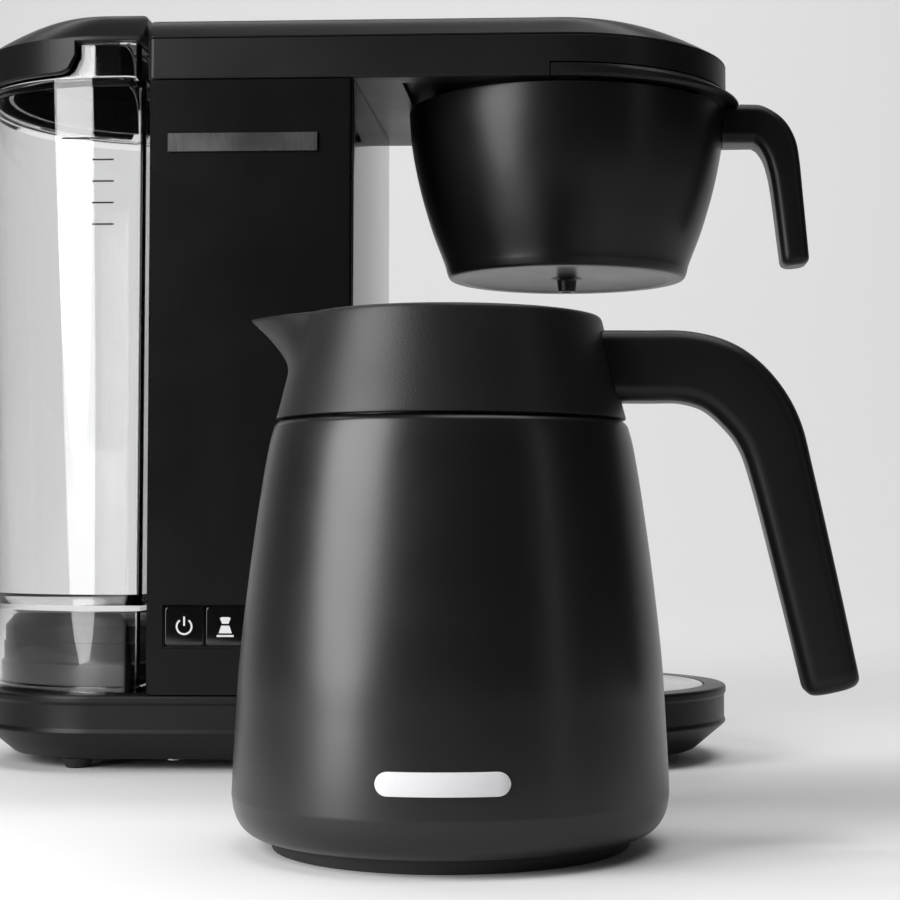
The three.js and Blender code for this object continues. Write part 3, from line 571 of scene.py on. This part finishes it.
def build_head():
    z0, z1 = HEAD.z0, HEAD.z1
    wall = 2.5
    front, rear = HEAD.y0 - OUT, HEAD.y1 + OUT
    side = rounded([(8, z0), (0, z0, 1.2), (0, z1, 0.4), (8, z1)])
    shell = stack("head_body", head_outline, [(20, z0), *side, (20, z1)])
    channel_x, half = BOWL.cx - FLANGE_R - 1.5, 62
    inside = stack("inside", head_outline, [(wall, z0 + wall), (wall, z1 + OUT)])
    channel = block("channel", channel_x, HEAD.x1 + OUT, MID - half, MID + half, z0 - OUT, z0 + 3)
    rim_notch = block("rim_notch", END - 3.5, HEAD.x1 + OUT, front, rear, z0 - OUT, FASCIA.z1 + 0.4)
    carve(shell, inside, channel, rim_notch)
    place(shell, "machine", SATIN, "black_plastic", "head_shell")

    roof_low = FLANGE_HIGH + 0.9
    roof_high = roof_low + 2
    inset = wall - 0.2
    roof = stack("basket_channel_roof", head_outline, [(inset, roof_low), (inset, roof_high)])
    below, above = roof_low - OUT, roof_high + OUT
    left = block("left", HEAD.x0 - OUT, channel_x - 2.2, front, rear, below, above)
    hole = turned("shower_hole", [(0, below), (34, below), (34, above), (0, above)], BOWL.cx, MID, 64)
    carve(roof, left, hole)
    place(roof, "machine", SATIN, "black_plastic")
    for side, name in ((-1, "front"), (1, "rear")):
        y = MID + side * 63.4
        rail = block(f"basket_rail_{name}", channel_x, END + 8, y - 1.9, y + 1.9, z0 + 0.05, z0 + 2.5)
        place(bevel(rail, 0.4), "machine", SATIN, "black_plastic")

    low, high = COVER.z0, COVER.z1
    dome = domed(low + 0.5, high, side=7, reach=22, power=1.4, corner=2)
    levels = [(20, low), (0.3, low), (0, low + 0.3), *dome, (50, 20, 50, high)]
    cap = stack("head_top", head_outline, levels)
    place(cap, "machine", SATIN, "black_plastic", "head_cover")


# ---------------------------------------------------------------- tank and lid

TANK_RIGHT = LID.x1 - 1.5
TANK_LEDGE, TANK_FLOOR, TANK_WALL = LID.z0 - 1.4, 66.0, 2.5
RABBET = 2.2  # how far the tank's rim steps in to take the lid's skirt
NARROWING = 3.0  # how far each side of the tank draws in from its ledge to its bottom
LID_R = (LID.y1 - LID.y0) / 2
LID_EDGE = LID.z0 + 13.3
HINGE_X, HINGE_Z = LID.x1 - 3, LID.z1 - 3
KNUCKLES_Y = (MID - 42, MID + 42)


def depth_share(z):
    """How far down the tank a height is: 0 at its ledge and 1 at its bottom."""
    return min(max((TANK_LEDGE - z) / (TANK_LEDGE - TANK.z0), 0), 1)


def tank_outline(inset, z):
    low = depth_share(z)
    half = (TANK.y1 - TANK.y0) / 2 - NARROWING * low - inset
    x0, x1 = TANK.x0 + 7 * low + inset, TANK_RIGHT - 1.2 * low - inset
    return plan(x0, x1, MID - half, MID + half, half, max(8 - inset, 1.5), 32)


def tank_stack(name, levels, sharp=30):
    """A skin that follows the tank's wall, through levels of (inset, z)."""
    return skin(name, [[(x, y, z) for x, y in tank_outline(inset, z)] for inset, z in levels], sharp)


def build_tank():
    bottom, floor, ledge, top, wall = TANK.z0, TANK_FLOOR, TANK_LEDGE, LID_EDGE - 0.1, TANK_WALL
    outside = [
        (wall, floor),
        (wall, bottom),
        (0, bottom),
        (0, bottom + 2),
        (0.8, bottom + 2.6),
        (0.8, floor),
        (0, floor + 3),
        (0, ledge - 0.5),
        (0.3, ledge),
        (RABBET, ledge + 0.6),
        (RABBET, top - 0.4),
        (RABBET + 0.4, top),
    ]
    neck = RABBET + wall
    inside = [
        (neck - 0.3, top),
        (neck, top - 0.4),
        (neck, ledge - 1),
        (wall, ledge - 4),
        (wall, floor + 7),
        (wall + 4, floor + 2.5),
    ]
    body = tank_stack("tank_wall", [*outside, *inside])
    for y in KNUCKLES_Y:
        knuckle = block("knuckle", HINGE_X - 2.1, HINGE_X + 2, y - 2, y + 2, top - 5, HINGE_Z + 2.4)
        carve(knuckle, rod("bore", HINGE_X, HINGE_Z, 80, 1.2))
        carve(body, knuckle, operation="UNION", sharp=30)
    place(body, "machine", CLEAR, "clear_plastic", "tank_body")

    seat = box_of("tank_pedestal")
    inset, middle = wall + 0.8, 24
    steps = rounded(
        [
            (0, seat.z0),
            (0, seat.z0 + 11, 0.6),
            (1.4, seat.z0 + 12, 0.5),
            (1.4, seat.z0 + 20, 0.4),
            (2.2, seat.z0 + 20.6, 0.3),
            (2.2, seat.z1 - 6, 1.5),
            (6.5, seat.z1, 2),
            (14, seat.z1),
        ]
    )
    levels = [(inset + u, z) for u, z in [(middle, seat.z0), *steps, (middle, seat.z1)]]
    place(tank_stack("tank_seat", levels, 35), "machine", SATIN, "black_plastic", "tank_pedestal")

    for i, length in enumerate((22, 9, 9, 9, 9)):
        z, x1 = 263 - 9 * i, TANK_RIGHT - 12
        y = TANK.y0 + NARROWING * depth_share(z) - 0.05
        tick = block(f"level_mark_{i + 1}", x1 - length, x1, y, y + 0.2, z - 0.35, z + 0.35)
        place(tick, "machine", RUBBER, "black_rubber")


def lid_outline(inset, end=None, tip=None):
    """The lid from above, drawn in by inset, or by end at its flat end and tip at its round end."""
    end, tip = inset if end is None else end, inset if tip is None else tip
    x0, x1, y0, y1 = LID.x0 + inset, LID.x1 - end, LID.y0 + inset, LID.y1 - inset
    outline = plan(x0, x1, y0, y1, LID_R - inset, max(3 - inset, 0.5), 32)
    return squeezed(outline, LID.x0 + LID_R, -1, (LID_R - tip) / (LID_R - inset))


def lid_skirt():
    """The skirt round the lid's round end, flush with the tank's wall and curved at both ends."""
    outer, inner = LID_R, LID_R - 2.8
    axis_x, top = LID.x0 + LID_R, LID_EDGE + 1
    end_x = LID.x1 - 30.3
    reach = 90 - math.degrees(math.asin((axis_x - end_x) / outer))
    curve_angle, curve_height, steps = 7, 7, 64
    rings = []
    for k in range(steps + 1):
        turn = -1 + 2 * k / steps
        angle = math.radians(180 + reach * turn)
        near = max(0.0, (abs(turn) * reach - (reach - curve_angle)) / curve_angle)
        z = LID.z0 + curve_height * (1 - math.sqrt(max(0.0, 1 - near**2)))
        outside = [(outer, top), (outer, z + 0.8), (outer - 0.8, z)]
        inside = [(inner + 0.6, z), (inner, z + 0.6), (inner, top)]
        c, s = math.cos(angle), math.sin(angle)
        rings.append([(axis_x + r * c, MID + r * s, h) for r, h in (*outside, *inside)])
    return skin("skirt", rings, 40)


def build_lid():
    bottom, top = LID_EDGE, LID.z1
    spring = bottom + 1.7  # where the dome starts
    dome = domed(spring, top, side=7, reach=28, power=1.5, corner=3)
    ceiling = [(30, 11, 44, top - 3), (13, 11, 32, top - 3), (11, 11, 11, spring), (11, bottom)]
    levels = [*ceiling, (0.4, bottom), (0, bottom + 0.4), *dome, (45, 12, 45, top)]
    plate = stack("lid_plate", lid_outline, levels)
    carve(plate, lid_skirt(), operation="UNION", sharp=30)
    for y in KNUCKLES_Y:
        room = block("room", HINGE_X - 6, LID.x1 + OUT, y - 2.6, y + 2.6, bottom - 3, top + 1)
        carve(plate, room, sharp=30)
    carve(plate, rod("bore", HINGE_X, HINGE_Z, 46, 1.35), sharp=30)
    # room for the edge beside the head to swing down
    x0, x1, z0, z1 = HINGE_X + 0.3, LID.x1 + 3, bottom - 1, bottom + 2.4
    slant = [(x0, z0), (x0, bottom), (LID.x1, z1), (x1, z1), (x1, z0)]
    carve(plate, bar("slant", slant, 80), sharp=30)
    place(plate, "tank_lid", SATIN, "black_plastic", "tank_lid")

    low, high, wall = TANK_LEDGE + 2, bottom + 2, 1.8
    tight, loose = TANK_WALL + RABBET + 3, TANK_WALL + RABBET + 6
    levels = [(tight + wall, high), (loose + wall, low), (loose, low), (tight, high)]
    collar = tank_stack("lid_collar", levels)
    open_end = block("open_end", TANK_RIGHT - 12, LID.x1 + OUT, MID - 90, MID + 90, 200, bottom)
    carve(collar, open_end, sharp=30)
    place(collar, "tank_lid", GLOSS, "black_plastic")


# ---------------------------------------------------------------- brew basket

def build_basket():
    cx, cy, low = BOWL.cx, BOWL.cy, 211.0
    high, wall, bed = BOWL_TOP, 2.4, low + 2.4
    curve = [(53.6, low + 3.4), (54.9, 219), (60.2, 233), (65.7, 252), (69.2, 270), (70.4, high - 0.6)]
    side = smooth(curve, 8)
    inner = [(r - wall, z) for r, z in reversed(side) if z > 216]
    sole = [(0, low + 0.8), (44, low + 0.8), (46.5, low, 0.6), (52.4, low, 2.6), side[0]]
    neck = [(70.4, high), (59.7, high), (59.7, FLANGE_LOW)]
    flange = [(FLANGE_R, FLANGE_LOW), (FLANGE_R, FLANGE_HIGH), (57.5, FLANGE_HIGH)]
    rim = [*neck, *flange, (57.5, high - 2.5), (67.2, high - 5.4)]
    profile = [*rounded(sole, steps=6), *side[1:], *rim, *inner[3:], (48, bed), (0, bed)]
    bowl = turned("basket_bowl_shell", profile, cx, cy, 160)
    place(bowl, "basket", BOWL_BLACK, "black_plastic", "basket_bowl")

    tip, root = BOWL.z0, low + 1.5
    spout = [(2.4, root), (2.4, tip), (4.0, tip, 0.5), (4.4, low, 1), (7, low + 0.7), (7, root)]
    nozzle = turned("basket_nozzle", rounded(spout, steps=4), cx, cy, 48)
    place(nozzle, "basket", SATIN, "black_plastic")
    build_fascia()
    build_basket_handle()


def build_fascia():
    """The ring round the basket's rim: flush with the head at its sides and flared at its tip."""
    z0, z1, inner = FASCIA.z0, FASCIA.z1, HEAD_R - 3.6
    longest = FASCIA.x1 - END - HEAD_R
    steps, straight = 96, 3
    shapes = []
    for k in range(steps + 1):
        angle = math.radians(-90 + 180 * k / steps)
        flare = longest * max(0.0, math.cos(angle)) ** 2.2
        out = HEAD_R + flare
        lower = [(inner, z0), (out - 1.2, z0), (out, z0 + 1.2)]
        upper = [(out - 0.3, z1 - 1.4 - 0.35 * flare), (HEAD_R - 0.3, z1), (inner, z1)]
        soft = rounded([(r, z, 0.7) for r, z in (*lower, *upper)], closed=True, steps=3)
        shapes.append([(END + r * math.cos(angle), MID + r * math.sin(angle), z) for r, z in soft])
    lead, tail = ([(x - straight, y, z) for x, y, z in shape] for shape in (shapes[0], shapes[-1]))
    ring = skin("basket_rim_ring", [lead, *shapes, tail], 40)
    place(ring, "basket", SATIN, "black_plastic", "basket_fascia")


def build_basket_handle():
    x0, x1, z0, z1 = GRIP.x0, GRIP.x1, GRIP.z0, GRIP.z1
    top = z1 - 8.7
    stations = [
        (x0 - 2, top, 17.2, 24),
        (x0 + 12, top, 17.2, 23.2),
        (x1 - 23, top - 0.4, 17.0, 22.6),
        (x1 - 17.6, top - 3.9, 16.6, 22),
        (x1 - 13.9, top - 9.7, 15.8, 21.5),
        (x1 - 11.8, top - 17.3, 14.4, 21),
        (x1 - 10.1, top - 29.3, 13.2, 21),
        (x1 - 6.5, z0 + 1.0, 12.2, 20),
    ]
    grip = handle_bar("basket_grip", stations, MID, corner=4.4, end_round=3)
    reach_x, reach_y = FASCIA.x1 - END + 0.2, HEAD_R + 1
    band = [(END + reach_x * math.cos(a), MID + reach_y * math.sin(a)) for a in turn_angles(CIRCLE)]
    heights = (FASCIA.z0 - 0.2, FASCIA.z1 + OUT)
    carve(grip, skin("band", [[(x, y, z) for x, y in band] for z in heights]), sharp=50)
    low, high = 200, 300
    wall = [(53.6, low), (53.9, 214), (60.5, 233), (66.0, 252), (69.6, 270), (70.7, BOWL_TOP)]
    profile = [(0, low), *wall, (wall[-1][0], high), (0, high)]
    carve(grip, turned("bowl", profile, BOWL.cx, BOWL.cy), sharp=50)
    place(grip, "basket", SATIN, "black_plastic", "basket_handle")


# ---------------------------------------------------------------- carafe

# (radius, height) up the outside of the carafe's wall, and up the inside of its steel lining
WALL_CURVE = (
    (70, 17),
    (69.6, 27),
    (68.7, 43),
    (67.9, 57),
    (66.0, 76),
    (63.6, 95.5),
    (60.8, 115),
    (58.6, 127.6),
    (57.0, 133.6),
)
LINING_CURVE = (
    (50, 14.6),
    (58, 17.6),
    (61.2, 25),
    (60.6, 52),
    (56.4, 94),
    (51.6, 122),
    (46.2, 133.5),
    (44.3, 141),
    (44.2, 152),
    (44.2, 164.4),
)


def build_carafe_body():
    low, high = SHELL.z0, SHELL.z1
    side = smooth(WALL_CURVE, 8)
    corner = [(60.8, low + 0.1), (64.6, low + 1.3), (67.4, low + 3.9), (69.2, low + 7.8)]
    bottom = [(0, low), (55, low), *smooth([(57.5, low), *corner, side[0]], 6)[:-1]]
    rim = [(56.2, high - 0.4), (55.6, high), (54, high)]
    inside = [(54, 126), (60, 96), (66, 50), (67, 16), (62, low + 2), (0, low + 2)]
    shell = turned("carafe_body", [*bottom, *side, *rim, *inside], CARAFE_X, CARAFE_Y, CIRCLE)
    place(shell, "carafe", POWDER, "black_powder_coat", "carafe_shell")

    wide = (FOOT.x1 - FOOT.x0) / 2
    sole = [(0, 0.6), (50, 0.6), (51, 0), (wide - 0.8, 0, 0.5), (wide, FOOT.z1), (0, FOOT.z1)]
    pad = turned("carafe_foot_pad", rounded(sole), CARAFE_X, CARAFE_Y)
    place(pad, "carafe", RUBBER, "black_rubber", "carafe_foot")

    lining = smooth(LINING_CURVE, 6)
    outer = [(r + 1, z + 0.2) for r, z in reversed(lining)]
    profile = [(0, 14), *lining, (44.7, 165), *outer[:-1], (50, 13), (0, 13)]
    liner = turned("carafe_lining", profile, CARAFE_X, CARAFE_Y)
    place(liner, "carafe", STEEL, "steel", "carafe_liner")


def collar_ring(z, inset):
    """The collar at one height: a circle that the pointed spout pulls out towards -X."""
    low_r, high_r, spout_z, spout_length, spout_half = 56.6, 48.5, 150.5, 17.8, math.radians(31)
    share = min(max((z - COLLAR.z0) / (COLLAR.z1 - COLLAR.z0), 0), 1)
    radius = low_r + (high_r - low_r) * share**0.93 - inset
    rise = min(max((z - spout_z) / (COLLAR.z1 - spout_z), 0), 1)
    reach = spout_length * rise**1.45 - (0.25 * inset if rise else 0)
    ring = []
    for angle in turn_angles(CIRCLE):
        pull = max(0.0, 1 - abs(angle - math.pi) / spout_half) ** 1.3
        r = radius + reach * pull
        ring.append((CARAFE_X + r * math.cos(angle), CARAFE_Y + r * math.sin(angle), z))
    return ring


def build_collar():
    low, high = COLLAR.z0, COLLAR.z1
    wall_low, wall_high, steps = low + 0.7, high - 1.2, 24
    wall = [(wall_low + (wall_high - wall_low) * k / steps, 0) for k in range(steps + 1)]
    lip = [(high - 0.5, 0.2), (high - 0.1, 0.6), (high, 1.0), (high - 0.3, 1.6)]
    inside = [(z, 2.2 + 0.05 * (high - z)) for z in (high - 1.2, high - 4, high - 8)]
    neck = [circle(CARAFE_X, CARAFE_Y, 45.6, z, CIRCLE) for z in (high - 12, 146)]
    below = [(143, 7.2), (low + 1, 9.2), (low, 9.2)]
    outer = [collar_ring(z, inset) for z, inset in [(low, 0.7), (low + 0.2, 0.2), *wall, *lip, *inside]]
    rings = [*outer, *neck, *[collar_ring(z, inset) for z, inset in below]]
    collar = skin("carafe_collar_ring", rings, 40, closed=True)
    place(collar, "carafe", GRAINED, "black_plastic", "carafe_collar")


def build_carafe_handle():
    x, high = CARAFE_X, HANDLE.z1 - 11.8
    stations = [
        (x + 44, high, 22.6, 25),
        (x + 62, high - 0.1, 22.6, 24.6),
        (x + 75.6, high - 0.4, 22.6, 24.2),
        (x + 86.6, high - 3.8, 22.8, 23.8),
        (x + 95.3, high - 11.2, 22.4, 23.4),
        (x + 101.8, high - 21, 21.0, 23),
        (x + 106.1, high - 35, 19.6, 22.4),
        (x + 113.9, high - 68, 18.6, 21.8),
        (x + 122.0, HANDLE.z0 + 1.8, 17.6, 21),
    ]
    grip = handle_bar("carafe_grip", stations, CARAFE_Y, corner=5, end_round=3.5)
    rings = [collar_ring(z, -0.12) for z in (COLLAR.z0 - 8, *range(140, 170, 5), COLLAR.z1 + 4)]
    carve(grip, skin("collar", rings), sharp=50)
    place(grip, "carafe", SATIN, "black_plastic", "carafe_handle")


def build_carafe_badge():
    """A blank round-ended bar that follows the carafe's wall."""
    badge = box_of("carafe_badge")
    half, radius = (badge.x1 - badge.x0) / 2, (badge.z1 - badge.z0) / 2
    mid_z = (badge.z0 + badge.z1) / 2
    aside, wall_r, steps = 1.7, 70, 48
    rings = []
    for k in range(steps + 1):
        u = (0.02 - half) * math.cos(math.pi * k / steps)
        end = max(0.0, abs(u) - (half - radius))
        v = math.sqrt(max(radius**2 - end**2, 0.0004))
        a = math.asin((badge.cx - CARAFE_X + aside + u) / wall_r)
        ring = [(69.3, -v), (70.3, -v), (70.4, -0.85 * v), (70.4, 0.85 * v), (70.25, v), (69.1, v)]
        c, s = math.cos(a), math.sin(a)
        rings.append([(CARAFE_X + r * s, CARAFE_Y - r * c, mid_z + h) for r, h in ring])
    plate = skin("carafe_plain_badge", rings, 40)
    place(plate, "carafe", WHITE_INK, "steel", "carafe_badge")


# ---------------------------------------------------------------- CAD nodes that stay

def dress(material, nodes, width):
    """Gives CAD nodes a material, and softens their edges by a width in millimetres."""
    for node in nodes:
        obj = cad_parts[node]
        obj.data.materials.clear()
        obj.data.materials.append(material)
        if width:
            bevel(obj, width, 2)


def dress_nodes():
    dress(SATIN, ["base_cover", "back_panel", "thermostat"], 0.4)
    dress(GLOSS, ["button_frame"], 0.15)
    dress(DARK_STEEL, ["badge"], 0.25)
    dress(STEEL, ["shower_head", "lid_hinge_pin", "heater_strap_left", "heater_strap_right"], 0.2)
    for stem, count in (("base_screw", 4), ("panel_screw", 4), ("handle_screw", 2)):
        dress(STEEL, [f"{stem}_{i}" for i in range(1, count + 1)], 0.25)
    dress(CAST, ["heater"], 0.6)
    dress(RUBBER, ["tank_seal", "cord_gland"], 0.4)
    dress(SILICONE, ["tank_outlet_valve", "inlet_hose", "riser_tube", "thermal_fuse"], 0)
    dress(BOARD, ["control_board"], 0.2)
    dress(PANEL_BLACK, ["front_panel"], 0.2)


# ---------------------------------------------------------------- studio

def aim(obj, target):
    direction = Vector(target) - obj.location
    obj.rotation_euler = direction.to_track_quat("-Z", "Y").to_euler()


def softbox(name, location, target, size, power, shape="RECTANGLE"):
    light = bpy.data.lights.new(name, "AREA")
    light.shape = shape
    light.size, light.size_y = size
    light.energy = power
    obj = bpy.data.objects.new(name, light)
    bpy.context.scene.collection.objects.link(obj)
    obj.location = location
    aim(obj, target)


def build_floor():
    """A pale floor that sweeps up into a wall far behind the object."""
    front, bend, bend_r, top, half_width = -720, 1500, 1200, 5000, 7000
    sweep = [(front, 0), (bend, 0), *arc(bend, bend_r, bend_r, -90, 0, 16), (bend + bend_r, top)]
    points = [(x, y, z) for y, z in sweep for x in (-half_width, half_width)]
    faces = [(2 * i, 2 * i + 1, 2 * i + 3, 2 * i + 2) for i in range(len(sweep) - 1)]
    floor = mesh_object("floor", points, faces)
    material, nodes, links, shader = new_material("pale_floor")
    links.new(ranged(nodes, links, noise(nodes, links, 3, 2), 0.55, 0.65), shader.inputs["Roughness"])
    shader.inputs["Base Color"].default_value = (0.80, 0.80, 0.80, 1)
    shader.inputs["Specular IOR Level"].default_value = 0.2
    floor.data.materials.append(material)


def build_world():
    """A room that the camera sees as a pale grey and that gives almost no light of its own."""
    world = bpy.data.worlds.new("studio")
    bpy.context.scene.world = world
    world.use_nodes = True
    nodes, links = world.node_tree.nodes, world.node_tree.links
    seen, lit = nodes["Background"], nodes.new("ShaderNodeBackground")
    seen.inputs["Color"].default_value = (0.70, 0.70, 0.70, 1)
    lit.inputs["Color"].default_value = (0.02, 0.02, 0.02, 1)
    mix, path = nodes.new("ShaderNodeMixShader"), nodes.new("ShaderNodeLightPath")
    links.new(path.outputs["Is Camera Ray"], mix.inputs["Fac"])
    links.new(lit.outputs["Background"], mix.inputs[1])
    links.new(seen.outputs["Background"], mix.inputs[2])
    links.new(mix.outputs["Shader"], nodes["World Output"].inputs["Surface"])
    bpy.context.scene.view_settings.view_transform = "Standard"


def build_lights():
    middle = (0, 0, 0.15)
    softbox("left_softbox", (-0.55, -0.60, 0.46), (0.5, -0.58, 0.38), (0.66, 0.96), 15, "ELLIPSE")
    softbox("right_strip", (1.5, -0.9, 0.6), middle, (0.12, 1.2), 0.8)
    softbox("top_softbox", (0.5, -0.35, 2.0), (0.2, 0.2, 0), (1.4, 0.7), 12)
    softbox("wall_light", (-0.4, 0.9, 2.8), (-0.4, 2.7, 0.6), (3.5, 0.8), 70)


def build_camera():
    camera = bpy.data.cameras.new("camera")
    camera.sensor_width = 36
    camera.lens = 76.8
    camera.shift_x = -0.0785
    camera.clip_start = 0.05
    obj = bpy.data.objects.new("camera", camera)
    bpy.context.scene.collection.objects.link(obj)
    eye = Vector((BASE.cx + 111.2, MID - 855.9, 103)) * MM
    yaw, pitch = math.radians(2.6), math.radians(2.15)
    ahead = Vector((-math.sin(yaw) * math.cos(pitch), math.cos(yaw) * math.cos(pitch), math.sin(pitch)))
    obj.location = eye
    aim(obj, eye + ahead)
    bpy.context.scene.camera = obj


def main():
    build_camera()
    build_base()
    build_tower()
    build_buttons()
    build_head()
    build_tank()
    build_lid()
    build_basket()
    build_carafe_body()
    build_collar()
    build_carafe_handle()
    build_carafe_badge()
    dress_nodes()
    build_floor()
    build_world()
    build_lights()


main()
